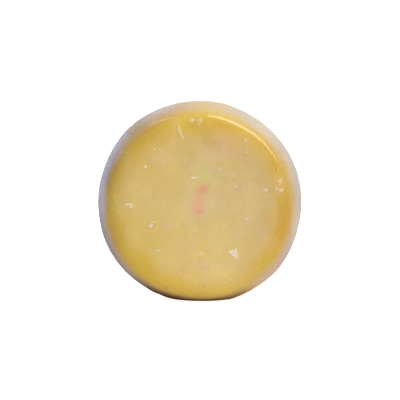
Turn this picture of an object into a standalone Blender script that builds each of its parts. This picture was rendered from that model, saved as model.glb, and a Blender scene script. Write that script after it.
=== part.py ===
"""A whole wheel of pecorino cheese, standing on its edge.

Metres, +Z up. The wheel's axis lies along Y, and its front face looks towards -Y. It stands on a small
flat spot of its heel, as a wheel does that has stood for a while. The origin is on the floor, under the
middle of the wheel.

The wheel is turned from half an outline: a flat face, a slow roll-off, a tighter shoulder and a bulging
heel. It is then made as uneven as a hand-made cheese, pressed flat underneath, and a few thin flakes of
dried coating are fused to its front.
"""

import math
import random

import bmesh
import bpy
from mathutils import Matrix, Vector, noise
from mathutils.bvhtree import BVHTree

# The turned outline
WHEEL_RADIUS = 0.100  # in the middle of the heel, where the wheel is widest
FACE_RADIUS = 0.064  # the flat middle of each face
ROLL_RADIUS = 0.0647  # arc from the flat of the face out to the shoulder
ROLL_TILT = math.radians(18)  # slope of the face where the shoulder starts
SHOULDER_RADIUS = 0.0156
SHOULDER_TILT = math.radians(65)  # slope where the heel starts
FACE_RINGS = 8
ROLL_STEPS = 4
SHOULDER_STEPS = 8
HEEL_STEPS = 5
SEGMENTS = 80

# What makes it uneven
OUTLINE_WAVES = (
    # waves round the wheel, their height, and the angle of a crest
    (2, 0.00048, math.radians(-30.1)),
    (3, 0.00025, math.radians(-31.5)),
    (4, 0.00044, math.radians(38.2)),
    (5, 0.00024, math.radians(9.3)),
)
LUMP_SIZE = 0.045
LUMP_HEIGHT = 0.0006
LUMP_START = Vector((5.48, 2.84, 8.52))  # the place in the noise that the lumps are read from
FRONT_HOLLOWS = (
    # middle x and z from the wheel's axis, reach along x and z, depth
    (0.030, 0.052, 0.026, 0.020, 0.0007),
    (-0.034, -0.020, 0.030, 0.024, 0.0004),
    (0.020, -0.062, 0.022, 0.013, 0.0005),
)
BACK_HOLLOWS = (
    (-0.026, 0.038, 0.030, 0.022, 0.0006),
    (0.036, 0.006, 0.022, 0.034, 0.0005),
    (-0.012, -0.050, 0.034, 0.018, 0.0005),
)
FOOT_DEPTH = 0.0050  # how much of the heel is pressed flat underneath

# Flakes of dried coating on the front face
FLAKE_RISE = 0.0004
FLAKE_ROOT = 0.0008
FLAKE_JITTER = 0.22
FLAKE_SEED = 11
FLAKES = (
    # x and z from the wheel's axis, length, width, turn in degrees, corners
    (0.0337, -0.0468, 0.0156, 0.0100, -58, 3),
    (-0.0183, 0.0702, 0.0176, 0.0050, -62, 3),
    (-0.0081, 0.0812, 0.0050, 0.0030, 8, 5),
    (0.0024, 0.0808, 0.0038, 0.0031, 60, 5),
    (-0.0516, 0.0371, 0.0044, 0.0024, 84, 5),
    (-0.0679, 0.0009, 0.0078, 0.0018, 10, 5),
    (-0.0660, -0.0009, 0.0044, 0.0018, 38, 5),
    (-0.0452, -0.0168, 0.0056, 0.0022, -14, 5),
    (-0.0470, -0.0200, 0.0042, 0.0024, 4, 5),
    (-0.0386, -0.0432, 0.0032, 0.0030, 30, 5),
    (-0.0058, 0.0264, 0.0068, 0.0024, -12, 6),
    (0.0776, 0.0220, 0.0088, 0.0070, 69, 3),
    (0.0781, 0.0128, 0.0092, 0.0042, -6, 7),
    (0.0631, 0.0142, 0.0044, 0.0036, 40, 3),
)

WELD = 1e-6

RIND_COLOUR = (0.66, 0.47, 0.17, 1.0)
RIND_ROUGHNESS = 0.38
SHARP_ANGLE = math.radians(35)


def clear_scene():
    for thing in list(bpy.data.objects):
        bpy.data.objects.remove(thing, do_unlink=True)


def rind_material():
    rind = bpy.data.materials.new("rind")
    rind.use_nodes = True
    shader = rind.node_tree.nodes["Principled BSDF"]
    shader.inputs["Base Color"].default_value = RIND_COLOUR
    shader.inputs["Roughness"].default_value = RIND_ROUGHNESS
    shader.inputs["Metallic"].default_value = 0.0
    return rind


def add_arc(points, arc_radius, start, end, steps):
    """Carry the outline on along an arc whose slope goes from start to end."""
    radius, height = points[-1]
    for step in range(1, steps + 1):
        tilt = start + (end - start) * step / steps
        across = arc_radius * (math.sin(tilt) - math.sin(start))
        down = arc_radius * (math.cos(start) - math.cos(tilt))
        points.append((radius + across, height - down))


def half_outline():
    """Points (radius, height) from the middle of a face to the middle of the heel, at height 0."""
    points = [(FACE_RADIUS * ring / FACE_RINGS, 0.0) for ring in range(FACE_RINGS + 1)]
    add_arc(points, ROLL_RADIUS, 0.0, ROLL_TILT, ROLL_STEPS)
    add_arc(points, SHOULDER_RADIUS, ROLL_TILT, SHOULDER_TILT, SHOULDER_STEPS)
    heel_radius = (WHEEL_RADIUS - points[-1][0]) / (1 - math.sin(SHOULDER_TILT))
    add_arc(points, heel_radius, SHOULDER_TILT, math.pi / 2, HEEL_STEPS)
    half_height = -points[-1][1]
    return [(radius, height + half_height) for radius, height in points]


def turned_wheel():
    """The whole outline, front face to back face, spun round the Y axis."""
    half = half_outline()
    outline = [(radius, -height) for radius, height in half]
    outline += [(radius, height) for radius, height in reversed(half[:-1])]
    wheel = bmesh.new()
    chain = [wheel.verts.new((radius, depth, 0.0)) for radius, depth in outline]
    edges = [wheel.edges.new(pair) for pair in zip(chain, chain[1:])]
    bmesh.ops.spin(
        wheel,
        geom=chain + edges,
        cent=(0, 0, 0),
        axis=(0, 1, 0),
        angle=2 * math.pi,
        steps=SEGMENTS,
        use_merge=True,
    )
    bmesh.ops.remove_doubles(wheel, verts=wheel.verts, dist=WELD)
    bmesh.ops.recalc_face_normals(wheel, faces=wheel.faces)
    return wheel


def outline_share(x, z):
    """How far out the wheel reaches in this direction, as a share of the true circle."""
    angle = math.atan2(z, x)
    waves = sum(height * math.cos(count * (angle - crest)) for count, height, crest in OUTLINE_WAVES)
    return 1 + waves / WHEEL_RADIUS


def hollow_depth(x, z, hollows):
    """How far the shallow hollows lower a face at this place."""
    depth = 0.0
    for middle_x, middle_z, reach_x, reach_z, deepest in hollows:
        away = ((x - middle_x) / reach_x) ** 2 + ((z - middle_z) / reach_z) ** 2
        depth += deepest * math.exp(-away)
    return depth


def make_uneven(wheel):
    wheel.normal_update()
    for vertex in wheel.verts:
        lump = LUMP_HEIGHT * noise.noise(vertex.co / LUMP_SIZE + LUMP_START)
        x, depth, z = vertex.co + vertex.normal * lump
        hollows = FRONT_HOLLOWS if depth < 0 else BACK_HOLLOWS
        depth -= math.copysign(hollow_depth(x, z, hollows), depth)
        share = outline_share(x, z)
        vertex.co = (x * share, depth, z * share)


def press_foot(wheel):
    """Cut the heel flat underneath."""
    cut = bmesh.ops.bisect_plane(
        wheel,
        geom=wheel.verts[:] + wheel.edges[:] + wheel.faces[:],
        plane_co=(0, 0, FOOT_DEPTH - WHEEL_RADIUS),
        plane_no=(0, 0, 1),
        clear_inner=True,
    )
    rim = [part for part in cut["geom_cut"] if isinstance(part, bmesh.types.BMEdge)]
    bmesh.ops.edgeloop_fill(wheel, edges=rim)
    bmesh.ops.recalc_face_normals(wheel, faces=wheel.faces)


def bounds_middle(mesh):
    """The middle of the mesh's box along X and Y."""
    xs = [vertex.co.x for vertex in mesh.vertices]
    ys = [vertex.co.y for vertex in mesh.vertices]
    return (min(xs) + max(xs)) / 2, (min(ys) + max(ys)) / 2


def flake_corners(length, width, corners, draw):
    """An uneven ring of corners, longest along its first direction."""
    ring = []
    for corner in range(corners):
        angle = 2 * math.pi * (corner + draw.uniform(-FLAKE_JITTER, FLAKE_JITTER)) / corners
        reach = 1 - draw.uniform(0, FLAKE_JITTER)
        ring.append((length / 2 * reach * math.cos(angle), width / 2 * reach * math.sin(angle)))
    return ring


def face_frame(tree, x, z, turn):
    """A place on the front face, with its third axis pointing out of the cheese."""
    spot, outward, _, _ = tree.ray_cast(Vector((x, -WHEEL_RADIUS, z)), Vector((0, 1, 0)))
    along = Matrix.Rotation(-math.radians(turn), 3, "Y") @ Vector((1, 0, 0))
    along = (along - outward * along.dot(outward)).normalized()
    across = outward.cross(along)
    frame = Matrix((along, across, outward)).transposed().to_4x4()
    frame.translation = spot
    return frame


def add_flake(group, name, frame, ring):
    """A thin plate with its root in the cheese."""
    plate = bmesh.new()
    low = [plate.verts.new(frame @ Vector((u, v, -FLAKE_ROOT))) for u, v in ring]
    base = plate.faces.new(low)
    raised = bmesh.ops.extrude_face_region(plate, geom=[base])["geom"]
    lift = frame.to_3x3() @ Vector((0, 0, FLAKE_ROOT + FLAKE_RISE))
    tops = [part for part in raised if isinstance(part, bmesh.types.BMVert)]
    bmesh.ops.translate(plate, verts=tops, vec=lift)
    bmesh.ops.recalc_face_normals(plate, faces=plate.faces)
    mesh = bpy.data.meshes.new(name)
    plate.to_mesh(mesh)
    plate.free()
    group.objects.link(bpy.data.objects.new(name, mesh))


def fuse_flakes(wheel, tree):
    """Join every flake to the wheel by one Boolean union, and remove the loose plates."""
    draw = random.Random(FLAKE_SEED)
    group = bpy.data.collections.new("flakes")
    bpy.context.scene.collection.children.link(group)
    for number, (x, z, length, width, turn, corners) in enumerate(FLAKES):
        ring = flake_corners(length, width, corners, draw)
        add_flake(group, f"flake_{number:02d}", face_frame(tree, x, z, turn), ring)
    union = wheel.modifiers.new("flakes", "BOOLEAN")
    union.operation = "UNION"
    union.solver = "EXACT"
    union.operand_type = "COLLECTION"
    union.collection = group
    bpy.context.view_layer.objects.active = wheel
    bpy.ops.object.modifier_apply(modifier=union.name)
    for plate in list(group.objects):
        bpy.data.objects.remove(plate, do_unlink=True)
    bpy.data.collections.remove(group)


def build_wheel():
    shape = turned_wheel()
    make_uneven(shape)
    press_foot(shape)
    tree = BVHTree.FromBMesh(shape)
    mesh = bpy.data.meshes.new("pecorino_wheel")
    shape.to_mesh(mesh)
    shape.free()
    mesh.materials.append(rind_material())
    wheel = bpy.data.objects.new("pecorino_wheel", mesh)
    bpy.context.scene.collection.objects.link(wheel)
    fuse_flakes(wheel, tree)
    middle_x, middle_y = bounds_middle(wheel.data)
    wheel.location = (-middle_x, -middle_y, WHEEL_RADIUS - FOOT_DEPTH)
    wheel.data.shade_smooth()
    wheel.data.set_sharp_from_angle(angle=SHARP_ANGLE)


clear_scene()
build_wheel()
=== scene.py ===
"""The looks of the pecorino wheel: its rind, its flakes of dried coating, and a plain pale studio."""

import math
import random

import bmesh
import bpy
import numpy as np
from mathutils import Matrix, Vector, noise
from mathutils.bvhtree import BVHTree


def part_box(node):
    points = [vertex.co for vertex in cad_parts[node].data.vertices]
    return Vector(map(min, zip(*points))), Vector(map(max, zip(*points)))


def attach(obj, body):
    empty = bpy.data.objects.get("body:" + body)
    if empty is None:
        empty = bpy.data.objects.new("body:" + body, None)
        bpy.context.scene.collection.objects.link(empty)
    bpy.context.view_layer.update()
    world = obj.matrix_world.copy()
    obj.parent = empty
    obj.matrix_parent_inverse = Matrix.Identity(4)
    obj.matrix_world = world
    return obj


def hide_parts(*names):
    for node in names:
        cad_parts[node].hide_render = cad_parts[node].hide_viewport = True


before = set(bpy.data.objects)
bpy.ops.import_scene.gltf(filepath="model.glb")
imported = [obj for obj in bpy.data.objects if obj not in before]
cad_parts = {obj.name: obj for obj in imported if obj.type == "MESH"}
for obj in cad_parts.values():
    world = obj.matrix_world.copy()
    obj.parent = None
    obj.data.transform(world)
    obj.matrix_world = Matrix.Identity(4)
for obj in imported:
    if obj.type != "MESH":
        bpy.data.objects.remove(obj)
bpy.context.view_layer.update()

# The wheel's place and size, from the CAD node
WHEEL = "pecorino_wheel"
low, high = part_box(WHEEL)
RADIUS = (high.x - low.x) / 2
FOOT_SHARE = 0.050
AXIS_HEIGHT = RADIUS * (1 - FOOT_SHARE)  # the wheel's round axis lies along Y at this height
MIDDLE = Vector((0.0, 0.0, AXIS_HEIGHT))

# The turned outline, in shares of the wheel's radius, as the CAD has it
FACE_SHARE = 0.64
ROLL_SHARE = 0.647
ROLL_TILT = math.radians(18)
SHOULDER_SHARE = 0.156
SHOULDER_TILT = math.radians(65)
FOOT_ROUNDING = 0.0012
CURVE_POINTS = 300
SQUARES = 126  # along each edge of the cube that the even mesh comes from

# What makes it uneven. The outline's waves, the first lumps and the hollows are the CAD's
OUTLINE_WAVES = (
    # waves round the wheel, their height, and the angle of a crest
    (2, 0.00048, math.radians(-30.1)),
    (3, 0.00025, math.radians(-31.5)),
    (4, 0.00044, math.radians(38.2)),
    (5, 0.00024, math.radians(9.3)),
)
FINE_WAVES = (
    # the same for finer waves, which the CAD leaves out
    (2, 0.00012, math.radians(-24.3)),
    (6, 0.00023, math.radians(20.1)),
    (9, 0.00013, math.radians(9.4)),
    (11, 0.00010, math.radians(14.7)),
)
LUMPS = (
    # size, height, and the place in the noise that they are read from
    (0.045, 0.00060, Vector((5.48, 2.84, 8.52))),
    (0.013, 0.00014, Vector((1.70, 9.20, 3.30))),
    (0.005, 0.00005, Vector((6.10, 4.40, 0.90))),
)
FRONT_HOLLOWS = (
    # middle x and z from the wheel's axis, reach along x and z, depth
    (0.030, 0.052, 0.026, 0.020, 0.0007),
    (-0.034, -0.020, 0.030, 0.024, 0.0004),
    (0.020, -0.062, 0.022, 0.013, 0.0005),
)
BACK_HOLLOWS = (
    (-0.026, 0.038, 0.030, 0.022, 0.0006),
    (0.036, 0.006, 0.022, 0.034, 0.0005),
    (-0.012, -0.050, 0.034, 0.018, 0.0005),
)
HEEL_SHARE = 0.90  # where the finer lumps of the heel start, and how soon they are full
HEEL_BLEND = 0.06
HEEL_LUMPS = (0.007, 0.00026, Vector((2.30, 7.70, 5.10)))
DENTS = 110
DENT_REACH = (0.0016, 0.0045)
DENT_DEPTH = (0.00006, 0.00026)
DENT_SEED = 5
CREASES = 46
CREASE_PLACE = 0.30  # how far from the heel's middle they lie at most, in shares of the radius
CREASE_SPAN = (0.12, 0.50)  # radians round the wheel
CREASE_SLANT = 0.006  # metres along the axis for a radian round the wheel
CREASE_WIDTH = (0.0013, 0.0028)
CREASE_DEPTH = (0.00015, 0.00048)
CREASE_SEED = 8

# Flakes of dried coating on the rind, their whiteness partly a painted glint of light on the coating
LARGE_FLAKES = (
    # whiteness, and the corners' x and z from the wheel's axis
    (0.92, ((0.0258, -0.0442), (0.0369, -0.0534), (0.0370, -0.0490), (0.0349, -0.0413))),
    (0.42, ((-0.0221, 0.0716), (-0.0193, 0.0672), (-0.0172, 0.0684), (-0.0185, 0.0752), (-0.0208, 0.0771))),
    (0.62, ((-0.0193, 0.0680), (-0.0161, 0.0619), (-0.0151, 0.0640), (-0.0174, 0.0690))),
    (0.50, ((0.0739, 0.0221), (0.0789, 0.0199), (0.0795, 0.0276))),
    (0.50, ((0.0723, 0.0137), (0.0749, 0.0147), (0.0742, 0.0169), (0.0716, 0.0166))),
    (0.55, ((0.0747, 0.0152), (0.0757, 0.0122), (0.0784, 0.0118), (0.0800, 0.0134), (0.0812, 0.0170),
            (0.0789, 0.0162))),
)
FLAKES = (
    # x and z from the wheel's axis, length, width, turn in degrees, corners, whiteness
    (-0.0072, 0.0809, 0.0070, 0.0050, 8, 6, 0.60),
    (0.0010, 0.0814, 0.0056, 0.0046, 60, 6, 0.55),
    (-0.0014, 0.0788, 0.0104, 0.0100, -90, 3, 0.16),
    (-0.0516, 0.0371, 0.0050, 0.0030, 84, 5, 0.80),
    (-0.0679, 0.0010, 0.0094, 0.0028, 8, 6, 0.80),
    (-0.0655, -0.0012, 0.0058, 0.0030, 38, 6, 0.85),
    (-0.0443, -0.0164, 0.0078, 0.0030, -10, 6, 0.45),
    (-0.0466, -0.0194, 0.0064, 0.0044, 30, 6, 0.75),
    (-0.0398, -0.0434, 0.0034, 0.0032, 30, 6, 0.80),
    (-0.0402, -0.0503, 0.0042, 0.0012, 0, 5, 0.29),
    (-0.0398, -0.0586, 0.0040, 0.0012, 0, 5, 0.26),
    (-0.0058, 0.0264, 0.0080, 0.0030, -12, 6, 0.65),
    (0.0631, 0.0142, 0.0060, 0.0050, 40, 5, 0.50),
    (0.0186, 0.0350, 0.0050, 0.0032, -15, 6, 0.45),
    (0.0437, 0.0623, 0.0060, 0.0044, 70, 6, 0.26),
    (0.0443, 0.0560, 0.0040, 0.0028, 10, 5, 0.18),
    (0.0446, 0.0505, 0.0050, 0.0034, 80, 6, 0.20),
    (0.0385, 0.0545, 0.0050, 0.0020, 20, 5, 0.18),
    (0.0445, -0.0132, 0.0076, 0.0050, 10, 7, 0.31),
    (-0.0430, 0.0536, 0.0026, 0.0024, 0, 5, 0.55),
    (-0.0378, 0.0532, 0.0062, 0.0018, -10, 6, 0.31),
    (-0.0217, 0.0360, 0.0026, 0.0022, 0, 5, 0.39),
    (-0.0092, 0.0330, 0.0086, 0.0020, -68, 6, 0.29),
    (0.0189, 0.0030, 0.0060, 0.0026, 5, 6, 0.26),
    (0.0177, 0.0186, 0.0044, 0.0014, 0, 5, 0.23),
    (-0.0520, 0.0003, 0.0048, 0.0018, 10, 5, 0.31),
    (-0.0402, 0.0168, 0.0017, 0.0015, 0, 5, 0.39),
    (-0.0290, -0.0184, 0.0018, 0.0015, 0, 5, 0.39),
    (0.0330, 0.0268, 0.0036, 0.0012, -60, 5, 0.23),
    (0.0140, 0.0350, 0.0032, 0.0022, 70, 5, 0.44),
    (0.0250, 0.0392, 0.0066, 0.0012, 8, 5, 0.31),
    (0.0700, 0.0141, 0.0096, 0.0014, 0, 6, 0.14),
    (0.0004, -0.0472, 0.0056, 0.0042, 60, 6, 0.36),
    (0.0067, -0.0430, 0.0040, 0.0018, 0, 5, 0.26),
    (0.0141, -0.0488, 0.0028, 0.0020, 0, 5, 0.29),
    (0.0290, -0.0720, 0.0062, 0.0030, 12, 6, 0.31),
    (-0.0229, -0.0610, 0.0104, 0.0018, 86, 6, 0.36),
    (-0.0186, -0.0675, 0.0076, 0.0015, -14, 6, 0.39),
    (-0.0096, -0.0706, 0.0120, 0.0015, -20, 6, 0.39),
    (-0.0690, 0.0505, 0.0030, 0.0022, 40, 5, 0.26),
    (-0.0660, 0.0475, 0.0034, 0.0018, -30, 5, 0.26),
    (0.0742, 0.0343, 0.0022, 0.0020, 0, 5, 0.55),
    (0.0879, -0.0151, 0.0024, 0.0022, 0, 5, 0.55),
    (0.0023, -0.0574, 0.0020, 0.0018, 0, 5, 0.45),
    (0.0344, 0.0177, 0.0042, 0.0034, 35, 5, 0.45),
    (-0.0670, 0.0227, 0.0024, 0.0020, 0, 5, 0.45),
    (-0.0798, 0.0010, 0.0040, 0.0014, 35, 5, 0.39),
    (-0.0840, -0.0042, 0.0018, 0.0018, 0, 5, 0.45),
    (-0.0050, -0.0249, 0.0046, 0.0026, 5, 6, 0.36),
    (0.0093, 0.0876, 0.0020, 0.0018, 0, 5, 0.55),
)
FLAKE_RISE = 0.00032
FLAKE_ROOT = 0.0005
FLAKE_JITTER = 0.22
FLAKE_LEVELS = ((0.97, 0.6), (0.78, 1.0), (0.40, 0.9))  # shares of its width and of its rise, rim to middle
FLAKE_TOP = 0.8
FLAKE_STEP = 0.0007  # between the points of a ragged rim
FLAKE_RAG = 0.13
FLAKE_SEED = 11
BACK_FLAKES = 12
BACK_FLAKE_LENGTH = (0.0030, 0.0085)
SPECKS = 80
SPECK_LENGTH = (0.0006, 0.0016)
SCATTER_AREA = 0.8  # the share of the wheel's circle that specks and the back's flakes lie in
SCATTER_SEED = 23
PITS = (
    # x and z from the wheel's axis, reach, and darkness
    (0.0731, 0.0340, 0.0013, 0.7),
    (0.0000, -0.0524, 0.0009, 0.4),
    (0.0019, -0.0597, 0.0010, 0.4),
    (-0.0253, -0.0788, 0.0014, 0.3),
    (0.0630, -0.0456, 0.0010, 0.4),
    (0.0655, -0.0250, 0.0009, 0.3),
    (0.0440, 0.0484, 0.0018, 0.15),
    (0.0032, -0.0776, 0.0014, 0.2),
)
RUST_SPOTS = (
    # x and z from the wheel's axis, reach along x and z, turn in degrees, strength
    (0.0840, 0.0068, 0.0026, 0.0013, 40, 0.7),
    (0.0852, 0.0040, 0.0020, 0.0010, -30, 0.6),
    (0.0262, -0.0424, 0.0016, 0.0012, 0, 0.7),
    (-0.0462, 0.0375, 0.0020, 0.0018, 0, 0.3),
    (-0.0325, -0.0806, 0.0040, 0.0014, -20, 0.5),
    (-0.0240, -0.0800, 0.0034, 0.0012, -12, 0.4),
    (-0.0444, -0.0163, 0.0011, 0.0009, 0, 0.9),
    (0.0440, -0.0850, 0.0140, 0.0070, 28, 0.20),
)
INK_MARKS = (
    # x and z from the wheel's axis, reach along x and z, turn in degrees, strength
    (0.0022, 0.0150, 0.0124, 0.0070, 25, 0.50),
    (0.0027, 0.0142, 0.0036, 0.0034, 0, 0.35),
    (-0.0008, -0.0060, 0.0084, 0.0048, 5, 0.45),
)
PLATE_SIZES = (
    # plates for a metre, and how much their colours differ
    (50.0, 0.17),
    (120.0, 0.09),
)
PLATES = (
    # x and z from the wheel's axis, reach along x and z, turn in degrees, share of paler coating
    (-0.0337, 0.0449, 0.0128, 0.0070, 8, 0.45),
    (-0.0150, 0.0600, 0.0150, 0.0100, -10, 0.35),
    (0.0190, 0.0480, 0.0090, 0.0060, 10, 0.35),
    (0.0315, 0.0292, 0.0026, 0.0022, 0, 0.35),
    (0.0492, 0.0155, 0.0096, 0.0082, 0, 0.28),
    (-0.0550, 0.0165, 0.0110, 0.0078, 10, 0.12),
    (-0.0392, 0.0325, 0.0032, 0.0013, 35, 0.45),
    (-0.0305, -0.0180, 0.0052, 0.0078, 0, 0.35),
    (0.0085, -0.0300, 0.0062, 0.0066, 0, 0.25),
    (0.0380, -0.0270, 0.0032, 0.0022, 20, 0.35),
    (-0.0058, -0.0330, 0.0048, 0.0064, 0, 0.35),
    (0.0418, -0.0478, 0.0024, 0.0062, 0, 0.45),
    (0.0512, -0.0446, 0.0022, 0.0050, 0, 0.45),
    (0.0185, -0.0590, 0.0310, 0.0052, -2, 0.35),
    (0.0470, -0.0140, 0.0080, 0.0070, 0, 0.30),
    (0.0620, -0.0260, 0.0080, 0.0150, 10, 0.25),
)
# Soft patches that make the rind darker or lighter: partly uneven tone, partly painted light and shade, such
# as painted rim light at the left edge and painted shade on the upper left shoulder and at the bottom
LIGHT_AND_TONE_PATCHES = (
    # x and z from the wheel's axis, reach along x and z, and how much darker the rind is made there
    (0.072, 0.018, 0.055, 0.065, 0.07),
    (0.092, 0.004, 0.024, 0.028, 0.04),
    (0.092, -0.018, 0.012, 0.026, -0.05),
    (0.024, -0.050, 0.018, 0.014, 0.04),
    (0.056, -0.061, 0.012, 0.010, -0.05),
    (0.060, -0.030, 0.060, 0.060, 0.05),
    (0.024, -0.088, 0.030, 0.016, -0.06),
    (0.048, -0.083, 0.028, 0.018, -0.04),
    (0.033, -0.090, 0.014, 0.008, -0.14),
    (-0.010, -0.092, 0.040, 0.014, 0.07),
    (0.030, 0.050, 0.045, 0.040, 0.02),
    (-0.024, -0.004, 0.040, 0.045, -0.04),
    (-0.062, -0.062, 0.040, 0.036, -0.07),
    (-0.018, -0.072, 0.032, 0.018, -0.04),
    (-0.028, -0.079, 0.022, 0.010, 0.05),
    (-0.040, 0.018, 0.030, 0.036, 0.03),
    (0.046, 0.040, 0.022, 0.020, 0.03),
    (-0.046, -0.038, 0.018, 0.016, 0.02),
    (-0.046, 0.068, 0.016, 0.012, 0.04),
    (0.026, -0.070, 0.036, 0.018, -0.04),
    (0.030, 0.073, 0.024, 0.010, -0.03),
    (-0.006, 0.052, 0.040, 0.026, 0.07),
    (-0.010, 0.096, 0.055, 0.014, -0.09),
    (-0.006, 0.076, 0.018, 0.010, 0.04),
    (-0.063, 0.075, 0.028, 0.020, 0.09),
    (-0.098, 0.003, 0.012, 0.040, -0.34),
    (-0.074, -0.062, 0.020, 0.020, 0.06),
    (-0.066, 0.076, 0.020, 0.018, 0.05),
    (-0.082, -0.012, 0.007, 0.026, 0.05),
    (-0.0885, 0.000, 0.007, 0.030, 0.04),
    (-0.080, -0.034, 0.014, 0.030, 0.06),
    (0.064, 0.070, 0.028, 0.024, -0.06),
)

# The studio
CAMERA_DISTANCE = 1.4
CAMERA_ELEVATION = math.radians(4.2)
CAMERA_AIM = Vector((0.00035, 0.0, 0.0021))  # from the wheel's middle
CAMERA_LENS = 127.95
KEY_POLAR = math.radians(46)  # off the camera's own direction
KEY_TURN = math.radians(57)  # round it, up from the right
KEY_DISTANCE = 1.3
KEY_SIZE = (1.15, 0.38)
KEY_POWER = 7.9
KEY_COLOUR = (0.96, 1.0, 0.95)
FLOOR_REACH = 6.0
FLOOR_GREY = (0.86, 0.86, 0.86, 1.0)
FLOOR_GLOW = (1.0, 0.96, 0.88, 1.0)
FLOOR_LIGHT = 0.08  # how strongly the floor glows on the wheel
FLOOR_SEEN = 0.87  # how much more strongly it glows to the camera

# The light from all round, in linear values: seen from the front, and from behind the wheel
FRONT_LEFT = (0.160, 0.188, 0.42, 1.0)
FRONT_MIDDLE = (0.582, 0.542, 0.455, 1.0)
FRONT_RIGHT = (0.26, 0.25, 0.27, 1.0)
OVERHEAD_LEFT = (0.60, 0.56, 0.50, 1.0)
OVERHEAD_RIGHT = (0.91, 0.90, 0.83, 1.0)
BEHIND_LEFT = (1.70, 2.15, 2.95, 1.0)
BEHIND_RIGHT = (0.72, 0.70, 0.72, 1.0)
BEHIND_TOP_LEFT = (0.46, 0.53, 0.64, 1.0)
BEHIND_TOP_RIGHT = (1.40, 1.29, 1.16, 1.0)
BACKDROP = (1.3, 1.3, 1.3, 1.0)


def linear(red, green, blue):
    """A colour given as 8-bit screen values, in the linear light that shaders use."""
    shares = [value / 255 for value in (red, green, blue)]
    light = [s / 12.92 if s <= 0.04045 else ((s + 0.055) / 1.055) ** 2.4 for s in shares]
    return (*light, 1.0)


STRAW = linear(218, 190, 120)
TAN = linear(213, 183, 121)
CREAM = linear(232, 203, 126)
LEMON = linear(221, 187, 77)
GOLD = linear(215, 176, 56)
AMBER = linear(207, 153, 18)
OLIVE = linear(206, 172, 50)
YOLK = linear(214, 176, 36)
BRASS = linear(231, 190, 60)
SUNNY = linear(232, 195, 60)
MAUVE = linear(216, 177, 126)
DUN = linear(210, 167, 90)
PEACH = linear(226, 192, 142)
PEARL = linear(214, 194, 168)
LILAC = linear(206, 194, 189)
IVORY = linear(222, 202, 166)
COOL_SHEEN = linear(206, 204, 220)
UMBER = linear(114, 54, 0)
LOW_SHADE_GREY = linear(150, 131, 120)
RUST = linear(208, 150, 88)
ROSE = linear(212, 172, 140)
PINK = linear(213, 176, 168)
PALE_GLINT = linear(240, 205, 150)
INK = linear(226, 126, 103)
LIME = linear(219, 198, 130)
SHELL = linear(223, 197, 152)
BLUSH = linear(230, 154, 133)
LEAF = linear(208, 204, 128)
FLAKE_GLINT_WHITE = linear(243, 227, 222)
FLAKE_GLINT_CREAM = linear(248, 234, 204)

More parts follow.
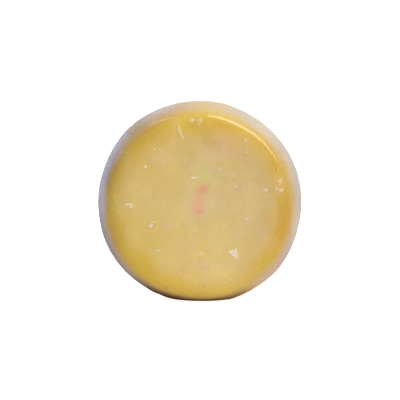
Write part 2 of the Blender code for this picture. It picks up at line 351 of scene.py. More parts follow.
RING_TINTS = (
    # colour, x and z from the wheel's axis, reach along x and z, share
    # brass low down: a brighter ring, partly painted light from below
    (BRASS, -0.022, -0.080, 0.085, 0.045, 0.9),
    (AMBER, 0.062, 0.052, 0.045, 0.045, 0.4),
    (YOLK, -0.062, -0.052, 0.045, 0.045, 0.8),
    (AMBER, 0.090, -0.022, 0.040, 0.052, 0.9),
    (SUNNY, 0.010, 0.088, 0.048, 0.036, 0.8),
)
TINTS = (
    # the same with a turn in degrees before the share, for tints all over
    (LEMON, -0.034, 0.027, 0.036, 0.034, 0, 0.36),
    (LEMON, -0.051, 0.034, 0.013, 0.012, 0, 0.45),
    (LEMON, -0.028, 0.000, 0.016, 0.020, 0, 0.15),
    (LEMON, -0.060, 0.038, 0.016, 0.014, 0, 0.25),
    (LEMON, -0.054, 0.017, 0.018, 0.008, 0, 0.20),
    (LEMON, -0.058, -0.036, 0.020, 0.018, 0, 0.20),
    (LEMON, -0.046, -0.037, 0.020, 0.018, 0, 0.25),
    (LEMON, -0.023, -0.052, 0.016, 0.016, 0, 0.16),
    (SHELL, 0.014, -0.002, 0.034, 0.026, 0, 0.22),
    (SHELL, 0.013, 0.046, 0.022, 0.015, 0, 0.28),
    (SHELL, -0.010, -0.006, 0.013, 0.028, 0, 0.28),
    (SHELL, -0.021, -0.041, 0.019, 0.016, 0, 0.28),
    (SHELL, 0.028, -0.022, 0.012, 0.016, 0, 0.15),
    (SHELL, 0.004, 0.042, 0.018, 0.018, 0, 0.25),
    (SHELL, 0.048, 0.006, 0.010, 0.008, 0, 0.20),
    (SHELL, 0.020, -0.036, 0.018, 0.008, 0, 0.20),
    (PEACH, 0.043, -0.064, 0.026, 0.018, 0, 0.25),
    (PEACH, -0.032, -0.059, 0.018, 0.014, 0, 0.25),
    (PEACH, -0.070, 0.038, 0.012, 0.026, 0, 0.18),
    (PEACH, 0.058, 0.044, 0.013, 0.014, 0, 0.12),
    (PEACH, 0.070, -0.036, 0.008, 0.014, -15, 0.20),
    (PEACH, 0.004, 0.050, 0.016, 0.014, 0, 0.30),
    (PEACH, 0.076, 0.019, 0.010, 0.018, 0, 0.45),
    (CREAM, -0.064, -0.033, 0.012, 0.022, 20, 0.35),
    (CREAM, -0.023, 0.078, 0.011, 0.012, 0, 0.25),
    (CREAM, -0.028, -0.053, 0.022, 0.022, 0, 0.28),
    (CREAM, -0.028, -0.006, 0.012, 0.026, 0, 0.15),
    (MAUVE, 0.050, 0.046, 0.030, 0.022, -45, 0.30),
    (MAUVE, 0.044, 0.062, 0.016, 0.010, -30, 0.20),
    (LILAC, -0.0785, 0.0480, 0.026, 0.006, 58, 0.30),
    (PEARL, 0.093, -0.014, 0.009, 0.032, 0, 0.45),
    (PINK, 0.061, -0.072, 0.030, 0.008, 42, 0.50),
    (LILAC, -0.0885, -0.030, 0.022, 0.006, -70, 0.30),
    (PINK, 0.036, -0.089, 0.014, 0.007, 20, 0.30),
    (RUST, 0.055, -0.026, 0.020, 0.020, 0, 0.20),
    (RUST, 0.065, -0.014, 0.014, 0.020, 0, 0.22),
    (RUST, 0.052, -0.042, 0.024, 0.016, 0, 0.12),
    (RUST, 0.066, 0.036, 0.014, 0.014, 0, 0.12),
    (LEAF, 0.003, 0.029, 0.010, 0.011, 0, 0.40),
    (LEAF, 0.012, -0.003, 0.009, 0.014, 0, 0.30),
    (LEAF, -0.012, 0.010, 0.009, 0.011, 0, 0.30),
    (LEAF, 0.040, 0.0815, 0.012, 0.007, -25, 0.22),
    (GOLD, -0.015, 0.059, 0.020, 0.016, 0, 0.34),
    (GOLD, 0.054, 0.055, 0.018, 0.016, -40, 0.22),
    (GOLD, 0.042, 0.056, 0.020, 0.014, -35, 0.14),
    (GOLD, 0.005, 0.081, 0.009, 0.010, 0, 0.30),
    (GOLD, 0.060, 0.024, 0.010, 0.010, 0, 0.20),
    (GOLD, 0.064, -0.014, 0.012, 0.018, 0, 0.15),
    (GOLD, 0.035, 0.058, 0.013, 0.011, 0, 0.25),
    (GOLD, 0.068, -0.010, 0.008, 0.018, 0, 0.30),
    (GOLD, 0.015, 0.083, 0.022, 0.009, 0, 0.20),
    (OLIVE, -0.0885, 0.000, 0.008, 0.032, 0, 0.30),
    (YOLK, -0.006, 0.075, 0.018, 0.010, 0, 0.25),
    (YOLK, -0.079, -0.031, 0.014, 0.034, 15, 0.30),
    (AMBER, 0.081, -0.010, 0.014, 0.032, 0, 0.15),
    (AMBER, -0.001, 0.0755, 0.014, 0.012, 0, 0.15),
    (DUN, -0.062, 0.075, 0.028, 0.018, 40, 0.45),
    (DUN, 0.003, 0.099, 0.050, 0.011, 0, 0.30),
    (DUN, -0.003, 0.079, 0.011, 0.013, 0, 0.30),
    (DUN, -0.037, 0.065, 0.018, 0.010, 15, 0.30),
    (DUN, -0.055, 0.045, 0.026, 0.034, 0, 0.12),
    (DUN, -0.055, 0.074, 0.012, 0.008, 45, 0.30),
    (DUN, -0.020, 0.0935, 0.014, 0.006, 12, 0.35),
    (RUST, -0.0903, 0.000, 0.006, 0.016, 0, 0.60),
    (AMBER, -0.083, -0.022, 0.034, 0.008, -78, 0.25),
    # painted dark contact shade under the wheel
    (UMBER, -0.022, -0.091, 0.026, 0.006, -12, 0.45),
    (IVORY, 0.059, 0.075, 0.034, 0.012, -38, 0.25),
    # painted cool sheen along the left and right edges
    (COOL_SHEEN, -0.098, 0.004, 0.012, 0.040, 0, 0.80),
    (COOL_SHEEN, 0.0960, -0.032, 0.007, 0.045, 0, 0.22),
    (COOL_SHEEN, 0.0885, 0.0455, 0.024, 0.007, -62, 0.20),
)


class Graph:
    """Short ways to add nodes to a material or a world and to join them."""

    def __init__(self, owner):
        owner.use_nodes = True
        self.tree = owner.node_tree

    def add(self, kind, inputs, **settings):
        node = self.tree.nodes.new(kind)
        for name, value in settings.items():
            setattr(node, name, value)
        for key, value in inputs.items():
            self.put(node.inputs[key], value)
        return node

    def put(self, socket, value):
        if isinstance(value, bpy.types.NodeSocket):
            self.tree.links.new(value, socket)
        else:
            socket.default_value = value

    def math(self, operation, *values, clamp=False):
        inputs = dict(enumerate(values))
        return self.add("ShaderNodeMath", inputs, operation=operation, use_clamp=clamp).outputs[0]

    def product(self, first, *others):
        for other in others:
            first = self.math("MULTIPLY", first, other)
        return first

    def vector(self, operation, *values):
        return self.add("ShaderNodeVectorMath", dict(enumerate(values)), operation=operation)

    def step(self, value, start, end, first=0.0, last=1.0):
        """Goes smoothly from first to last as value goes from start to end."""
        inputs = {"Value": value, "From Min": start, "From Max": end, "To Min": first, "To Max": last}
        return self.add("ShaderNodeMapRange", inputs, interpolation_type="SMOOTHSTEP").outputs[0]

    def mix(self, share, first, second, blend="MIX"):
        node = self.add("ShaderNodeMix", {}, data_type="RGBA", blend_type=blend)
        self.put(node.inputs[0], share)
        self.put(node.inputs[6], first)
        self.put(node.inputs[7], second)
        return node.outputs[2]

    def tinted(self, colour, tint, *shares):
        """The colour with the tint over it, as far as all the shares let it through."""
        return self.mix(self.product(*shares), colour, tint)

    def shaded(self, colour, shade):
        """The colour, made lighter or darker by a share."""
        grey = self.add("ShaderNodeCombineColor", {0: shade, 1: shade, 2: shade}).outputs[0]
        return self.mix(1.0, colour, grey, "MULTIPLY")

    def noise(self, place, size, detail=2.0, distortion=0.0, channel=0):
        inputs = {"Vector": place, "Scale": 1 / size, "Detail": detail, "Distortion": distortion}
        return self.add("ShaderNodeTexNoise", inputs).outputs[channel]

    def blob(self, place, x, z, reach_x, reach_z, turn=0.0, soft=1.0, hidden=0.0):
        """1 in the middle of an oval on the faces, fading to 0 at its edge and where it is hidden."""
        right, up = math.cos(math.radians(turn)), math.sin(math.radians(turn))
        place = self.vector("SUBTRACT", place, (x, 0.0, z)).outputs[0]
        along = self.vector("DOT_PRODUCT", place, (right / reach_x, 0.0, up / reach_x)).outputs["Value"]
        across = self.vector("DOT_PRODUCT", place, (-up / reach_z, 0.0, right / reach_z)).outputs["Value"]
        across = self.math("MULTIPLY_ADD", across, across, hidden)
        away = self.math("SQRT", self.math("MULTIPLY_ADD", along, along, across))
        return self.step(away, 1.0, 1.0 - soft)

    def moved(self, place, size, by):
        """The place, pushed about by noise of that size."""
        push = self.noise(place, size, 3.0, channel=1)
        push = self.vector("SUBTRACT", push, (0.5, 0.5, 0.5)).outputs[0]
        return self.vector("MULTIPLY_ADD", push, (by, by, by), place).outputs[0]


class WheelGraph(Graph):
    """A material's graph that knows where on the wheel a point is."""

    def __init__(self, owner):
        super().__init__(owner)
        place = self.add("ShaderNodeTexCoord", {}).outputs["Object"]
        self.place = self.vector("SUBTRACT", place, MIDDLE[:]).outputs[0]
        self.across, self.depth, self.up = self.add("ShaderNodeSeparateXYZ", {0: self.place}).outputs
        flat = self.vector("MULTIPLY", self.place, (1.0, 0.0, 1.0)).outputs[0]
        self.out = self.vector("LENGTH", flat).outputs["Value"]
        self.front = self.step(self.depth, 0.005, -0.005)
        spin = self.step(self.depth, 0.030, 0.022, -1.0, 1.0)
        spin = self.add("ShaderNodeCombineXYZ", {0: spin, 1: 1.0, 2: spin}).outputs[0]
        self.spun = self.vector("MULTIPLY", self.place, spin).outputs[0]  # upside down on the back
        behind = self.step(self.depth, -0.002, 0.020)
        self.back_rim = self.product(behind, self.step(self.out, 0.078, 0.090))
        self.wander = self.noise(self.place, 0.030, 3.0)
        self.broad = self.noise(self.place, 0.045, 3.0, 0.6)
        self.patchy = self.noise(self.place, 0.014, 4.0, 0.8)
        self.fine = self.noise(self.place, 0.0035, 4.0)
        self.grain = self.noise(self.place, 0.0009, 3.0)
        near_rim = self.step(self.out, 0.077, 0.092)
        streaks = self.math("SUBTRACT", self.noise(self.rubbing(), 1.0, 3.0), 0.5)
        self.streaks = self.math("MULTIPLY_ADD", streaks, near_rim, 0.5)

    def oval(self, *sizes):
        """A blob that is the same way up on both faces."""
        return self.blob(self.place, *sizes)

    def rubbing(self):
        """A place that runs slowly round the wheel and fast across it, for marks that follow the rim."""
        thickness = self.math("ABSOLUTE", self.depth)
        across_rim = self.math("DIVIDE", self.math("SUBTRACT", self.out, thickness), 0.0022)
        side = self.math("MULTIPLY_ADD", self.front, 20.0, across_rim)
        round_rim = self.vector("NORMALIZE", self.vector("MULTIPLY", self.place, (1.0, 0.0, 1.0)).outputs[0])
        along = self.vector("MULTIPLY", round_rim.outputs[0], (4.0, 4.0, 4.0)).outputs[0]
        return self.vector("ADD", along, self.add("ShaderNodeCombineXYZ", {1: side}).outputs[0]).outputs[0]

    def uneven(self, value, by, noise=None):
        """The value, moved up and down by the noise, by about a fifth of the given range."""
        push = self.math("SUBTRACT", self.wander if noise is None else noise, 0.5)
        return self.math("MULTIPLY_ADD", push, by, value)


def outline_curve():
    """Radius, height and slope from the middle of a face to the middle of the heel, for radius 1."""
    face = np.linspace(0, FACE_SHARE, CURVE_POINTS)
    radius, height, tilt = face, np.zeros_like(face), np.zeros_like(face)
    shoulder_end = FACE_SHARE + ROLL_SHARE * math.sin(ROLL_TILT)
    shoulder_end += SHOULDER_SHARE * (math.sin(SHOULDER_TILT) - math.sin(ROLL_TILT))
    heel_share = (1 - shoulder_end) / (1 - math.sin(SHOULDER_TILT))
    arcs = (
        (ROLL_SHARE, 0.0, ROLL_TILT),
        (SHOULDER_SHARE, ROLL_TILT, SHOULDER_TILT),
        (heel_share, SHOULDER_TILT, math.pi / 2),
    )
    for arc_radius, start, end in arcs:
        slope = np.linspace(start, end, CURVE_POINTS)[1:]
        radius = np.append(radius, radius[-1] + arc_radius * (np.sin(slope) - math.sin(start)))
        height = np.append(height, height[-1] - arc_radius * (math.cos(start) - np.cos(slope)))
        tilt = np.append(tilt, slope)
    return radius, height - height[-1], tilt


def turned_surface(directions):
    """Points and outward directions of the true turned wheel, spread as evenly as the given directions."""
    radius, height, tilt = outline_curve()
    along = np.hypot(np.diff(radius), np.diff(height))
    area = np.concatenate([[0], np.cumsum((radius[1:] + radius[:-1]) / 2 * along)])
    reach = np.sqrt(area / area[-1])
    share = (1 + directions[:, 1]) / 2
    asked = np.sqrt(2 * np.minimum(share, 1 - share))
    radius, height, tilt = (np.interp(asked, reach, line) for line in (radius, height, tilt))
    side = np.where(directions[:, 1] < 0, -1.0, 1.0)
    round_axis = np.maximum(np.hypot(directions[:, 0], directions[:, 2]), 1e-9)
    across, up = directions[:, 0] / round_axis, directions[:, 2] / round_axis
    points = np.stack([radius * across, side * height, radius * up], 1) * RADIUS
    outward = np.stack([np.sin(tilt) * across, side * np.cos(tilt), np.sin(tilt) * up], 1)
    return points, outward


def noise_heights(points, size, height, start):
    return height * np.array([noise.noise(Vector(point) / size + start) for point in points])


def lump_heights(points):
    """Lumps all over, and finer ones on the heel, where the cheese lay against its mould."""
    heights = sum(noise_heights(points, *lump) for lump in LUMPS)
    out = np.hypot(points[:, 0], points[:, 2]) / RADIUS
    heel = np.clip((out - HEEL_SHARE) / HEEL_BLEND, 0, 1)
    return heights + heel * noise_heights(points, *HEEL_LUMPS)


def dent_depths(points):
    """Small shallow dents, scattered over the whole wheel."""
    draw = np.random.default_rng(DENT_SEED)
    depths = np.zeros(len(points))
    for _ in range(DENTS):
        middle = points[draw.integers(len(points))]
        reach = draw.uniform(*DENT_REACH)
        deepest = draw.uniform(*DENT_DEPTH)
        away = ((points - middle) ** 2).sum(1) / reach**2
        depths += deepest * np.exp(-away)
    return depths


def crease_depths(points):
    """Shallow creases that run round the heel."""
    draw = np.random.default_rng(CREASE_SEED)
    angle = np.arctan2(points[:, 2], points[:, 0])
    depths = np.zeros(len(points))
    for _ in range(CREASES):
        middle = draw.uniform(-math.pi, math.pi)
        place = draw.uniform(-CREASE_PLACE, CREASE_PLACE) * RADIUS
        span = draw.uniform(*CREASE_SPAN)
        slant = draw.uniform(-CREASE_SLANT, CREASE_SLANT)
        width = draw.uniform(*CREASE_WIDTH)
        deepest = draw.uniform(*CREASE_DEPTH)
        along = (angle - middle + math.pi) % (2 * math.pi) - math.pi
        across = points[:, 1] - place - slant * along
        depths += deepest * np.exp(-((across / width) ** 2) - (along / span) ** 2)
    return depths


def sink_hollows(points):
    for side, hollows in ((-1, FRONT_HOLLOWS), (1, BACK_HOLLOWS)):
        here = points[:, 1] * side > 0
        for middle_x, middle_z, reach_x, reach_z, deepest in hollows:
            away = ((points[:, 0] - middle_x) / reach_x) ** 2 + ((points[:, 2] - middle_z) / reach_z) ** 2
            points[:, 1] -= here * side * deepest * np.exp(-away)


def wave_outline(points):
    angle = np.arctan2(points[:, 2], points[:, 0])
    waves = np.zeros_like(angle)
    for count, height, crest in OUTLINE_WAVES + FINE_WAVES:
        waves += height * np.cos(count * (angle - crest))
    points[:, [0, 2]] *= (1 + waves / RADIUS)[:, None]


def press_foot(points):
    """Flatten the heel underneath, with a softly rounded rim round the flat."""
    floor = (FOOT_SHARE - 1) * RADIUS
    above = points[:, 2] - floor
    near = np.maximum(FOOT_ROUNDING - np.abs(above), 0) / FOOT_ROUNDING
    points[:, 2] = floor + np.maximum(above, 0) + near**2 * FOOT_ROUNDING / 4


def even_sphere():
    """A cube of small squares, to be rounded into a ball that has no poles."""
    ball = bmesh.new()
    bmesh.ops.create_cube(ball, size=2)
    bmesh.ops.subdivide_edges(ball, edges=ball.edges[:], cuts=SQUARES - 1, use_grid_fill=True)
    mesh = bpy.data.meshes.new("pecorino_rind")
    ball.to_mesh(mesh)
    ball.free()
    return mesh


def read_points(mesh):
    points = np.zeros(len(mesh.vertices) * 3)
    mesh.vertices.foreach_get("co", points)
    return points.reshape(-1, 3)


def fit_to_node(points):
    """Scale and move the wheel so that its box is the CAD node's box."""
    lowest, highest = points.min(0), points.max(0)
    scale = np.array(high - low) / (highest - lowest)
    return (points - lowest) * scale + np.array(low)


def rind_mesh():
    mesh = even_sphere()
    cube = np.tan(read_points(mesh) * math.pi / 4)
    directions = cube / np.linalg.norm(cube, axis=1)[:, None]
    points, outward = turned_surface(directions)
    relief = lump_heights(points) - dent_depths(points) - crease_depths(points)
    points = points + outward * relief[:, None]
    sink_hollows(points)
    wave_outline(points)
    press_foot(points)
    mesh.vertices.foreach_set("co", fit_to_node(points).ravel())
    mesh.update()
    mesh.shade_smooth()
    return mesh


def uneven_corners(length, width, count, draw):
    """The corners of an uneven shape, longest along its first direction."""
    corners = []
    for corner in range(count):
        angle = 2 * math.pi * (corner + draw.uniform(-FLAKE_JITTER, FLAKE_JITTER)) / count
        reach = 1 - draw.uniform(0, FLAKE_JITTER)
        corners.append(Vector((length / 2 * reach * math.cos(angle), width / 2 * reach * math.sin(angle))))
    return corners


def ragged_ring(corners, draw):
    """Points along the sides between the corners, pushed in and out a little."""
    ring = []
    for corner, following in zip(corners, corners[1:] + corners[:1]):
        steps = max(2, round((following - corner).length / FLAKE_STEP))
        for step in range(steps):
            rag = 1 + draw.uniform(-FLAKE_RAG, FLAKE_RAG)
            ring.append(corner.lerp(following, step / steps) * rag)
    return ring


def flake_axes(outward, turn):
    """The flake's own two directions on the rind, its length turned up from level."""
    level = Vector((0, 0, 1)).cross(outward)
    if level.length < 0.1:
        level = Vector((1, 0, 0))
    level = (level - outward * level.dot(outward)).normalized()
    up = outward.cross(level)
    along = level * math.cos(turn) + up * math.sin(turn)
    return along, outward.cross(along)


def add_flake(flakes, tree, draw, middle, side, turn, corners, whiteness):
    """A thin chip that lies on the front or back, with a rim that goes into it and an uneven top."""
    whiteness_layer = flakes.verts.layers.float["whiteness"]
    start = MIDDLE + Vector((middle[0], side * RADIUS, middle[1]))
    spot, outward, _, _ = tree.ray_cast(start, Vector((0, -side, 0)))
    along, across = flake_axes(outward, turn)
    ring = ragged_ring(corners, draw)
    narrowest = min(corner.length for corner in corners)
    rise = FLAKE_RISE * min(1.0, narrowest / 0.001)
    levels = [(1.0, -FLAKE_ROOT)] + [(share, rise * part) for share, part in FLAKE_LEVELS]
    loops = []
    for share, lift in levels:
        loop = []
        for u, v in ring:
            place = spot + (along * u + across * v) * share
            foot, _, _, _ = tree.find_nearest(place)
            point = flakes.verts.new(foot + outward * lift * draw.uniform(0.7, 1.3))
            point[whiteness_layer] = whiteness * draw.uniform(0.8, 1.1)
            loop.append(point)
        loops.append(loop)
    top = flakes.verts.new(spot + outward * rise * FLAKE_TOP)
    bottom = flakes.verts.new(spot - outward * FLAKE_ROOT)
    top[whiteness_layer] = bottom[whiteness_layer] = whiteness
    for index in range(len(ring)):
        following = (index + 1) % len(ring)
        flakes.faces.new((bottom, loops[0][following], loops[0][index]))
        for inner, outer in zip(loops[1:], loops):
            flakes.faces.new((outer[index], outer[following], inner[following], inner[index]))
        flakes.faces.new((loops[-1][index], loops[-1][following], top))


def add_placed_flakes(flakes, tree):
    """The flakes that show on the front."""
    draw = random.Random(FLAKE_SEED)
    for whiteness, outline in LARGE_FLAKES:
        corners = [Vector(corner) for corner in outline]
        middle = sum(corners, Vector((0, 0))) / len(corners)
        corners = [corner - middle for corner in corners]
        add_flake(flakes, tree, draw, middle, -1, 0.0, corners, whiteness)
    for x, z, length, width, turn, count, whiteness in FLAKES:
        corners = uneven_corners(length, width, count, draw)
        add_flake(flakes, tree, draw, (x, z), -1, math.radians(turn), corners, whiteness)


def add_scattered_flakes(flakes, tree):
    """Specks, two of three on the front, and then some flakes on the back."""
    draw = random.Random(SCATTER_SEED)
    for number in range(SPECKS + BACK_FLAKES):
        is_speck = number < SPECKS
        angle, out = draw.uniform(0, 2 * math.pi), RADIUS * math.sqrt(draw.uniform(0, SCATTER_AREA))
        side = -1 if is_speck and number % 3 else 1
        length = draw.uniform(*(SPECK_LENGTH if is_speck else BACK_FLAKE_LENGTH))
        corners = uneven_corners(length, length * draw.uniform(0.5, 0.9), 5, draw)
        turn, whiteness = draw.uniform(0, math.pi), draw.uniform(0.1, 0.4) * (1 if is_speck else 2)
        middle = (out * math.cos(angle), out * math.sin(angle))
        add_flake(flakes, tree, draw, middle, side, turn, corners, whiteness)


def flakes_mesh(tree):
    flakes = bmesh.new()
    flakes.verts.layers.float.new("whiteness")
    add_placed_flakes(flakes, tree)
    add_scattered_flakes(flakes, tree)
    mesh = bpy.data.meshes.new("pecorino_flakes")
    flakes.to_mesh(mesh)
    flakes.free()
    mesh.shade_smooth()
    return mesh


def face_colour(wheel):
    """The pale middle of a face, its paleness partly a painted hazy sheen, in large soft patches and plates
    of slightly different coating.
    """
    colour = wheel.mix(wheel.step(wheel.broad, 0.35, 0.65), STRAW, TAN)
    low_left = wheel.step(wheel.math("MULTIPLY_ADD", wheel.across, 0.4, wheel.up), 0.000, -0.060)
    colour = wheel.tinted(colour, LEMON, low_left, 0.8)
    high = wheel.oval(-0.016, 0.058, 0.066, 0.045)
    colour = wheel.tinted(colour, LEMON, high, 0.35)
    low = wheel.oval(0.018, -0.063, 0.080, 0.058)
    colour = wheel.tinted(colour, CREAM, low, 0.8)
    bent = wheel.moved(wheel.spun, 0.012, 0.012)
    shade = wheel.step(wheel.patchy, 0.3, 0.7, 0.98, 1.02)
    for cells_a_metre, share in PLATE_SIZES:
        plates = wheel.add("ShaderNodeTexVoronoi", {"Vector": bent, "Scale": cells_a_metre}).outputs["Color"]
        light, hue, _ = wheel.add("ShaderNodeSeparateXYZ", {0: plates}).outputs
        colour = wheel.tinted(colour, LEMON, wheel.step(hue, 0.5, 0.9), share)
        colour = wheel.tinted(colour, PEACH, wheel.step(hue, 0.4, 0.1), share)
        shade = wheel.product(shade, wheel.step(light, 0.0, 1.0, 0.984, 1.016))
    for *oval, share in PLATES:
        plate = wheel.blob(bent, *oval, soft=0.2)
        colour = wheel.tinted(colour, PEACH, plate, share)
    return wheel.shaded(colour, shade)


def ring_over(wheel, colour):
    """The golden ring round a face, more olive on the left and more orange on the right."""
    ring = wheel.tinted(GOLD, OLIVE, wheel.step(wheel.across, -0.02, -0.08), 0.8)
    for tint, *oval, share in RING_TINTS:
        ring = wheel.tinted(ring, tint, wheel.oval(*oval), share)
    hot = wheel.oval(0.020, 0.0760, 0.027, 0.011, -18)
    ring = wheel.tinted(ring, AMBER, hot, wheel.front, 0.7)
    worn = wheel.oval(0.024, -0.086, 0.060, 0.040)
    thin = wheel.oval(-0.090, 0.004, 0.035, 0.055)
    wide = wheel.math(
        "MAXIMUM",
        wheel.oval(0.014, 0.079, 0.050, 0.036),
        wheel.product(wheel.oval(-0.052, -0.052, 0.034, 0.034), 0.5),
    )
    reach = wheel.math("MULTIPLY_ADD", worn, -0.007, wheel.uneven(wheel.out, 0.012))
    reach = wheel.math("MULTIPLY_ADD", thin, -0.006, reach)
    reach = wheel.math("MULTIPLY_ADD", wide, 0.0075, reach)
    crisp = wheel.oval(0.085, -0.020, 0.050, 0.075)
    start = wheel.math("MULTIPLY_ADD", crisp, 0.0070, 0.0622)
    end = wheel.math("MULTIPLY_ADD", crisp, -0.0035, 0.0830)
    share = wheel.product(wheel.step(reach, start, end), wheel.math("MULTIPLY_ADD", worn, -0.25, 1.0))
    return wheel.mix(share, colour, ring)


def stain_over(wheel, colour):
    """A patch at the upper right of the front, dun at its sharp left edge and pinkish further right."""
    patch = wheel.math(
        "MAXIMUM",
        wheel.oval(0.027, 0.056, 0.036, 0.019, -28, 0.8),
        wheel.oval(0.009, 0.066, 0.020, 0.016, -20, 0.7),
    )
    slanted = wheel.math("MULTIPLY_ADD", wheel.up, 0.3, wheel.across)
    edge = wheel.step(wheel.uneven(slanted, 0.006), 0.0205, 0.0225)
    stain = wheel.mix(wheel.step(wheel.across, 0.008, 0.026), DUN, MAUVE)
    mottled = wheel.step(wheel.patchy, 0.38, 0.58, 0.55, 0.85)
    return wheel.tinted(colour, stain, patch, edge, wheel.front, mottled)


def ink_over(wheel, colour):
    """Two soft smudges of pink ink in the middle of the front."""
    place = wheel.moved(wheel.place, 0.004, 0.003)
    clear = wheel.blob(place, 0.0010, 0.0180, 0.0200, 0.0420, 0, 0.7)
    colour = wheel.tinted(colour, LIME, clear, wheel.front, 0.45)
    lower = wheel.blob(place, -0.0021, -0.0016, 0.0130, 0.0130)
    haze = wheel.blob(place, -0.0010, 0.0050, 0.0180, 0.0280)
    blush = wheel.math("MULTIPLY_ADD", lower, 0.55, wheel.product(haze, 0.22))
    colour = wheel.tinted(colour, BLUSH, blush, wheel.front)
    for *oval, strength in INK_MARKS:
        mark = wheel.blob(place, *oval)
        colour = wheel.tinted(colour, INK, mark, wheel.front, strength)
    return colour


def pits_over(wheel, colour):
    """A few small dark pits and rusty spots on the front, and faint pits scattered all over."""
    for x, z, reach, darkness in PITS:
        pit = wheel.oval(x, z, reach, reach)
        colour = wheel.tinted(colour, UMBER, pit, wheel.front, darkness)
    for *oval, strength in RUST_SPOTS:
        colour = wheel.tinted(colour, RUST, wheel.oval(*oval), wheel.front, strength)
    cells = wheel.add("ShaderNodeTexVoronoi", {"Vector": wheel.place, "Scale": 170.0})
    red, _, _ = wheel.add("ShaderNodeSeparateXYZ", {0: cells.outputs["Color"]}).outputs
    pits = wheel.step(cells.outputs["Distance"], 0.14, 0.05)
    return wheel.tinted(colour, UMBER, pits, wheel.step(red, 0.80, 0.95), 0.18)


def bloom_colour(wheel):
    """The bloom's colour: pearly, rosy on the left, pinkish low on the right, with a painted cool sheen at
    its left edge.
    """
    dry = wheel.step(wheel.uneven(wheel.out, 0.022, wheel.patchy), 0.0900, 0.0990)
    dry = wheel.product(dry, wheel.step(wheel.depth, 0.006, -0.010, 0.35, 1.0))
    colour = wheel.mix(wheel.step(wheel.across, 0.02, -0.05), PEARL, ROSE)
    colour = wheel.tinted(colour, LILAC, dry)
    low_right = wheel.oval(0.075, -0.060, 0.050, 0.060)
    colour = wheel.tinted(colour, PINK, low_right, wheel.step(wheel.streaks, 0.35, 0.60, 0.40, 1.00))
    # painted cool sheen at the left edge, standing for bluish light from the left
    cool = wheel.oval(-0.095, 0.012, 0.035, 0.070)
    colour = wheel.tinted(colour, COOL_SHEEN, cool, wheel.step(wheel.out, 0.092, 0.096), 0.8)
    inner = wheel.uneven(wheel.depth, 0.03, wheel.patchy)
    colour = wheel.tinted(colour, IVORY, wheel.step(inner, -0.022, 0.006, 0.0, 0.75))
    thin = wheel.step(wheel.broad, 0.50, 0.75, 0.0, 0.35)
    thin = wheel.product(thin, wheel.step(wheel.across, -0.06, 0.00))
    rubbed = wheel.product(wheel.step(wheel.depth, -0.003, 0.010), wheel.step(wheel.patchy, 0.45, 0.60))
    thin = wheel.math("MULTIPLY_ADD", rubbed, wheel.step(wheel.streaks, 0.35, 0.65, 0.15, 0.55), thin)
    return wheel.tinted(colour, GOLD, thin)


def heel_over(wheel, colour):
    """The heel's pale dry bloom, which comes furthest in at the upper right and is gone under the wheel."""
    towards = wheel.vector("DOT_PRODUCT", wheel.place, (0.013, 0.0, 0.022)).outputs["Value"]
    edge = wheel.math("ADD", wheel.uneven(wheel.out, 0.005), towards)
    upper_left = wheel.oval(-0.085, 0.030, 0.050, 0.070)
    edge = wheel.math("MULTIPLY_ADD", upper_left, 0.0012, edge)
    softness = wheel.math("MULTIPLY_ADD", wheel.across, 0.028, 0.0108)
    within = wheel.math("DIVIDE", wheel.math("SUBTRACT", edge, 0.0915), softness)
    line = wheel.product(
        wheel.step(within, -0.60, -0.35),
        wheel.step(within, -0.05, -0.30),
        wheel.step(wheel.across, 0.02, -0.05),
        wheel.step(wheel.patchy, 0.4, 0.6, 0.15, 0.45),
    )
    colour = wheel.tinted(colour, RUST, line)
    worn = wheel.oval(0.012, 0.100, 0.046, 0.035)
    bloom = wheel.product(
        wheel.step(within, -0.5, 0.5),
        wheel.step(wheel.up, -0.094, -0.055),
        wheel.math("MULTIPLY_ADD", worn, -0.45, 1.0),
    )
    return wheel.tinted(colour, bloom_colour(wheel), bloom), bloom


def shoulder_over(wheel, colour):
    """Painted shade on the upper left shoulder, and a painted pale highlight line that runs along it."""
    # painted shade on the upper left shoulder
    upper_left_shade = wheel.product(
        wheel.oval(-0.080, 0.035, 0.050, 0.070),
        wheel.step(wheel.out, 0.078, 0.088),
        wheel.step(wheel.out, 0.0985, 0.0930),
    )
    colour = wheel.shaded(colour, wheel.math("MULTIPLY_ADD", upper_left_shade, -0.15, 1.0))
    # a painted pale highlight line along the shoulder
    following = wheel.math("MULTIPLY_ADD", wheel.across, 0.136, wheel.out)
    line = wheel.product(wheel.step(following, 0.0827, 0.0836), wheel.step(following, 0.0847, 0.0838))
    glint_spot = wheel.oval(-0.038, 0.081, 0.019, 0.017, 0, 0.6)
    return wheel.tinted(colour, PALE_GLINT, line, glint_spot, wheel.front, 0.55)


def foot_over(wheel, colour):
    """Painted shade, greyer low on the left of the heel, and painted dark brown contact shade where the
    wheel stands, and where that is.
    """
    height = wheel.math("ADD", wheel.up, AXIS_HEIGHT)
    slant = wheel.math("MULTIPLY_ADD", wheel.across, 1.2, wheel.uneven(height, 0.020))
    # painted shade, greyer low on the left of the heel
    low_left_shade = wheel.product(wheel.step(slant, 0.060, -0.050), wheel.step(wheel.out, 0.0890, 0.0970))
    colour = wheel.tinted(colour, LOW_SHADE_GREY, low_left_shade, 0.8)
    # painted dark brown contact shade where the wheel stands
    leaning = wheel.math("MULTIPLY_ADD", wheel.across, 0.12, wheel.uneven(height, 0.010))
    foot_shade = wheel.product(wheel.step(leaning, 0.026, 0.000), wheel.step(wheel.out, 0.0875, 0.0958), 0.97)
    contact = wheel.product(wheel.step(height, 0.0060, 0.0015), wheel.step(wheel.out, 0.0850, 0.0905), 0.9)
    foot_shade = wheel.math("MAXIMUM", foot_shade, contact)
    return wheel.tinted(colour, UMBER, foot_shade), foot_shade


